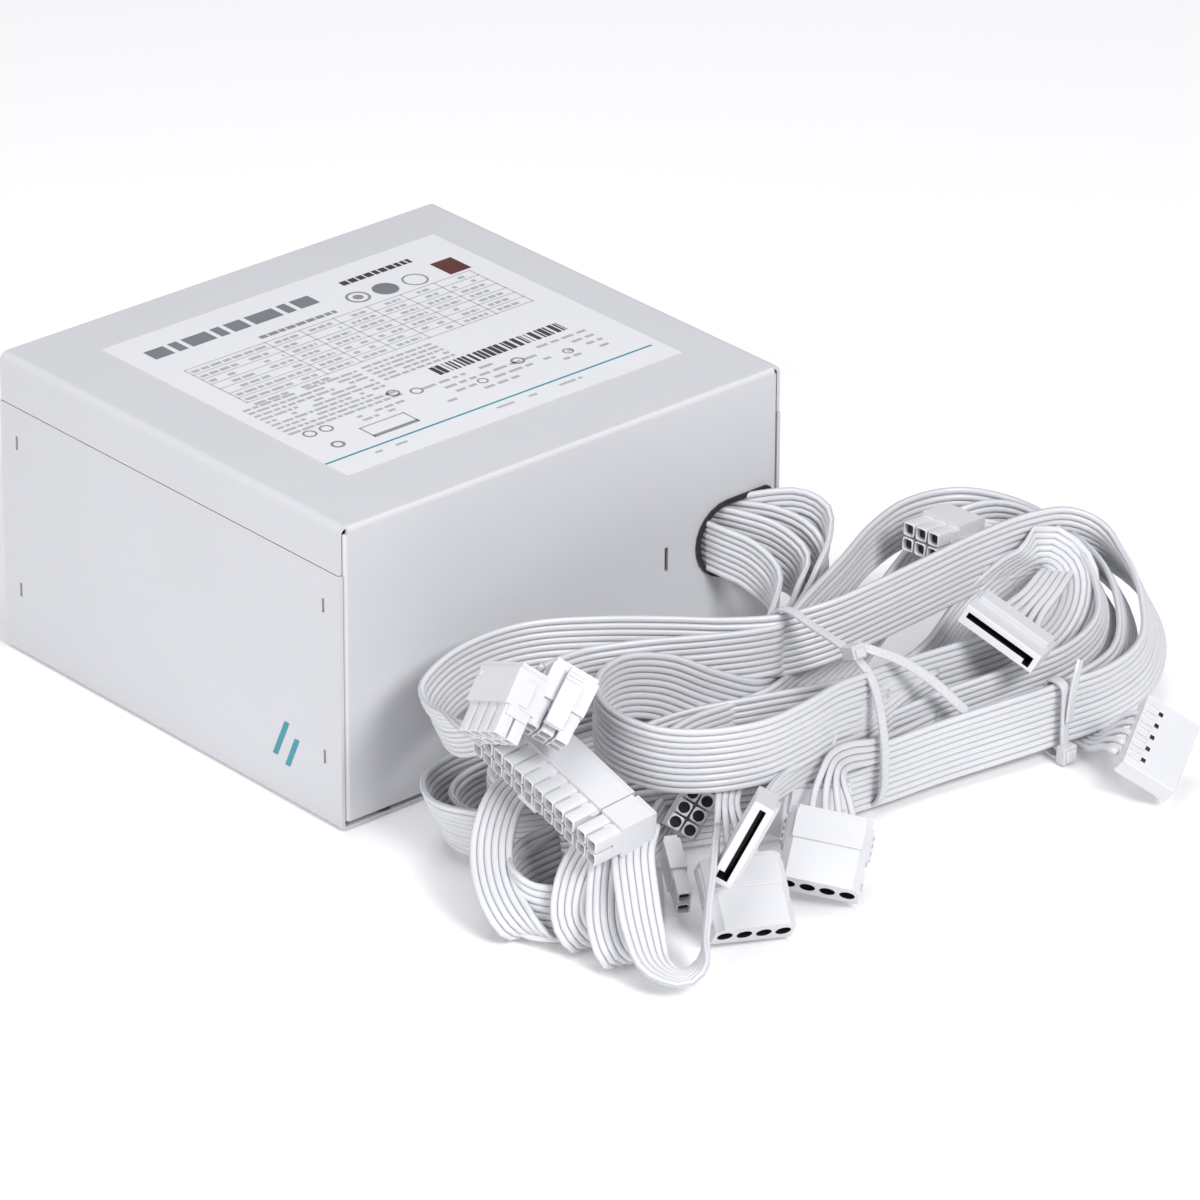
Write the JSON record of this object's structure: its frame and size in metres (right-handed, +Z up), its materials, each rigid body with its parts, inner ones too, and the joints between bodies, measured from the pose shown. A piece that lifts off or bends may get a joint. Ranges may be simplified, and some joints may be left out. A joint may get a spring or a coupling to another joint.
{
  "type": "power supply unit",
  "caption": "White box-shaped computer power supply with a fan underneath, a mains inlet and switch at the back, and a tied bundle of flat white cables with plugs.",
  "frame": {"origin": "centre of the case on the plane of its fan side, which is the surface that the case and the cables lie on", "axes": "+X along the 150 mm width, +Y towards the mains inlet face so that the cables leave towards -Y, +Z up from the fan side to the label"},
  "size_m": [0.2309, 0.273, 0.0862],
  "materials": {
    "white_paint": "fine satin white powder coat",
    "label": "printed film",
    "black_plastic": "moulded, fine texture",
    "plated_steel": "zinc plated",
    "guard_wire": "bright plated wire",
    "inlet_contact": "plated contact",
    "board": "solder resist",
    "insulation": "translucent film",
    "sleeve": "shrink sleeve",
    "heatsink": "plain extruded",
    "tape": "polyester tape",
    "winding": "enamelled copper",
    "powder_core": "painted iron powder core",
    "wire": "smooth white PVC",
    "tie_nylon": "natural white nylon",
    "plug_plastic": "moulded white nylon"
  },
  "bodies": {
    "case": {"chassis_tray": "white_paint", "fan_cover": "white_paint", "rating_label": "label", "cable_bushing": "black_plastic", "inlet_housing": "black_plastic", "switch_bezel": "black_plastic", "fan_frame": "black_plastic", "cover_screw_1": "plated_steel", "cover_screw_2": "plated_steel", "cover_screw_3": "plated_steel", "cover_screw_4": "plated_steel", "fan_screw_1": "plated_steel", "fan_screw_2": "plated_steel", "fan_screw_3": "plated_steel", "fan_screw_4": "plated_steel", "standoff_1": "plated_steel", "standoff_2": "plated_steel", "standoff_3": "plated_steel", "standoff_4": "plated_steel", "fan_guard": "guard_wire", "inlet_pin_line": "inlet_contact", "inlet_pin_neutral": "inlet_contact", "inlet_pin_earth": "inlet_contact", "main_board": "board", "control_board": "board", "insulation_sheet": "insulation", "bulk_capacitor": "sleeve", "output_capacitor_1": "sleeve", "output_capacitor_2": "sleeve", "output_capacitor_3": "sleeve", "primary_heatsink": "heatsink", "secondary_heatsink": "heatsink", "main_transformer": "tape", "filter_capacitor": "tape", "pfc_choke": "winding", "emi_choke": "winding", "output_choke": "powder_core", "internal_harness": "wire", "cable_fan_out": "wire", "cable_hank": "wire", "bundle_tie": "tie_nylon", "small_tie": "tie_nylon", "plug_24pin_main": "plug_plastic", "plug_24pin_side": "plug_plastic", "plug_cpu": "plug_plastic", "plug_pcie_latched": "plug_plastic", "plug_pcie_six": "plug_plastic", "plug_pcie_two": "plug_plastic", "plug_back": "plug_plastic", "plug_sata_front": "plug_plastic", "plug_sata_lobe": "plug_plastic", "plug_sata_middle": "plug_plastic", "plug_sata_end": "plug_plastic", "plug_drive_left": "plug_plastic", "plug_drive_right": "plug_plastic"},
    "rotor": {"fan_rotor": "black_plastic"},
    "rocker": {"switch_rocker": "black_plastic"},
    "main_latch": {"latch_24pin": "plug_plastic"},
    "pcie_latch": {"latch_pcie": "plug_plastic"}
  },
  "joints": [
    {"name": "fan_spin", "type": "hinge", "parent": "case", "child": "rotor", "pos_m": [0, 0, 0.0168], "axis": [0, 0, 1], "continuous": true},
    {"name": "mains_switch", "type": "hinge", "parent": "case", "child": "rocker", "pos_m": [0.022, 0.0656, 0.052], "axis": [1, 0, 0], "range_deg": [-14, 0]},
    {"name": "main_latch_squeeze", "type": "hinge", "parent": "case", "child": "main_latch", "pos_m": [-0.05952, -0.13318, 0.03303], "axis": [-0.0525, -0.9708, -0.2339], "range_deg": [0, 6], "stiffness_Nm_per_rad": 0.02},
    {"name": "pcie_latch_squeeze", "type": "hinge", "parent": "case", "child": "pcie_latch", "pos_m": [-0.06159, -0.13995, 0.06044], "axis": [-0.5943, 0.6216, 0.5103], "range_deg": [0, 6], "stiffness_Nm_per_rad": 0.02}
  ]
}
